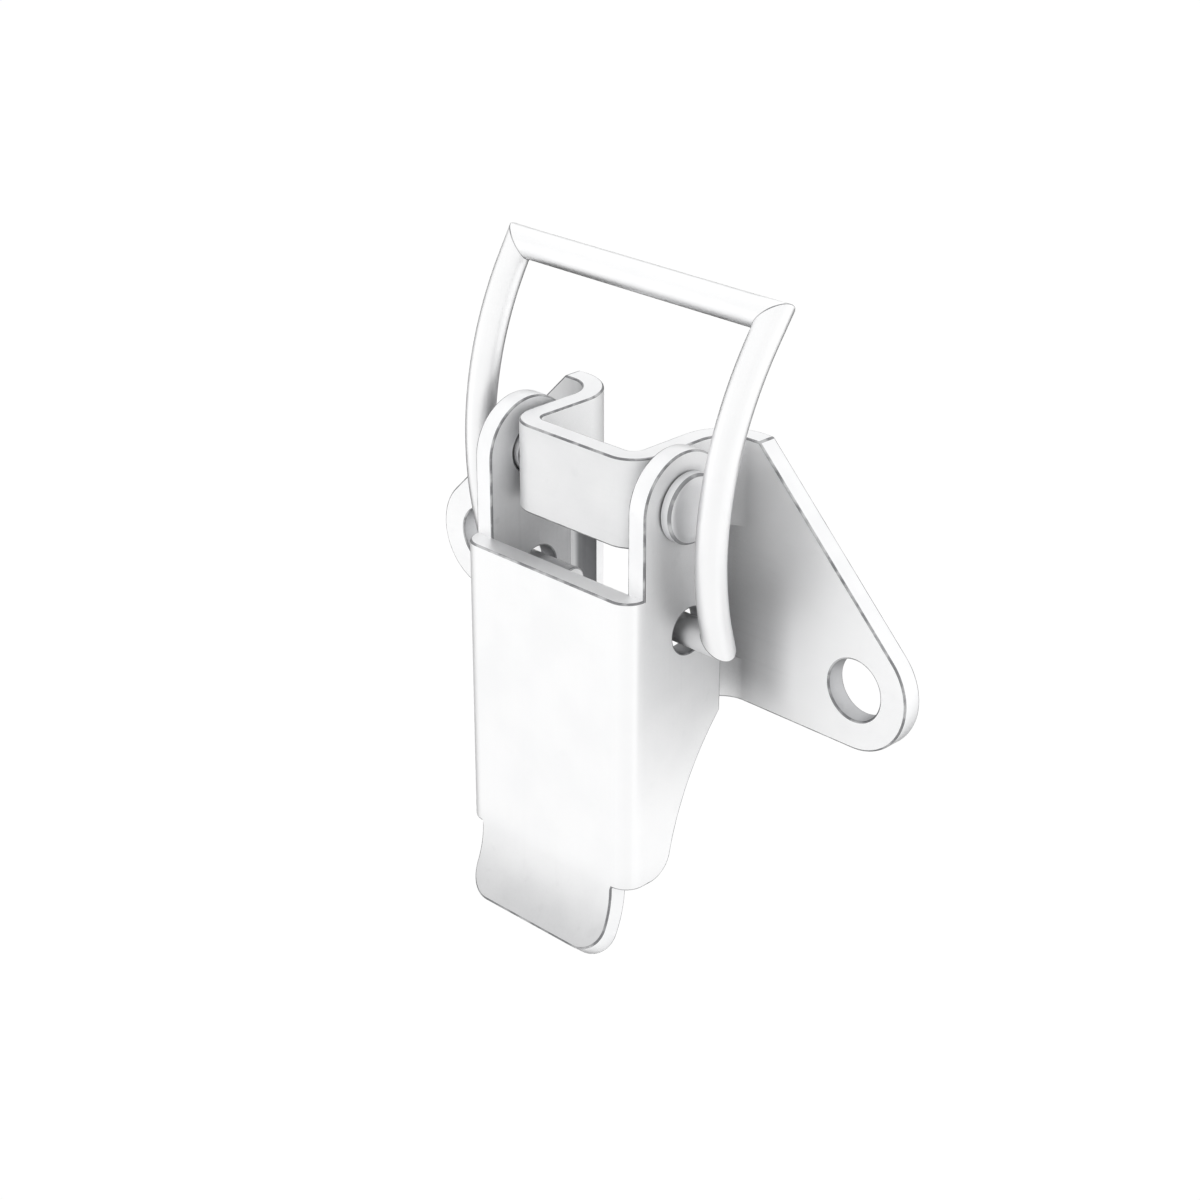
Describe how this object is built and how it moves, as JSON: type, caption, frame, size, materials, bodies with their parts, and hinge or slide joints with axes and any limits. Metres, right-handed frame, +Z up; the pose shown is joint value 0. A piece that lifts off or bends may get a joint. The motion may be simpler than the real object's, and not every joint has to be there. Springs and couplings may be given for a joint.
{
  "type": "draw latch",
  "caption": "Surface-mounted draw latch: a folded channel lever riveted to a humped base plate pulls a wire bail over a keeper.",
  "frame": {"origin": "midway between the two screw holes, on the base plate's back face", "axes": "+X runs right along the line of the screw holes, +Y runs back into the panel, +Z runs up towards the bail's bar"},
  "size_m": [0.044, 0.0142, 0.0464],
  "materials": {
    "base_plate": "satin zinc-plated sheet",
    "lever": "satin zinc-plated sheet",
    "bail_wire": "drawn zinc-plated wire",
    "rivets": "satin zinc-plated steel"
  },
  "bodies": {
    "base": {"base_plate": "base_plate", "left_rivet": "rivets", "right_rivet": "rivets"},
    "lever": {"lever": "lever"},
    "bail": {"bail": "bail_wire"}
  },
  "joints": [
    {"name": "lever_swing", "type": "hinge", "parent": "base", "child": "lever", "pos_m": [0, -0.00725, 0.0118], "axis": [-1, 0, 0], "range_deg": [0, 160]},
    {"name": "bail_swing", "type": "hinge", "parent": "lever", "child": "bail", "pos_m": [0, -0.00665, 0.00274], "axis": [-1, 0, 0], "range_deg": [-160, 0]}
  ],
  "couplings": [
    {"joint": "bail_swing", "follows": "lever_swing", "ratio": -1}
  ]
}
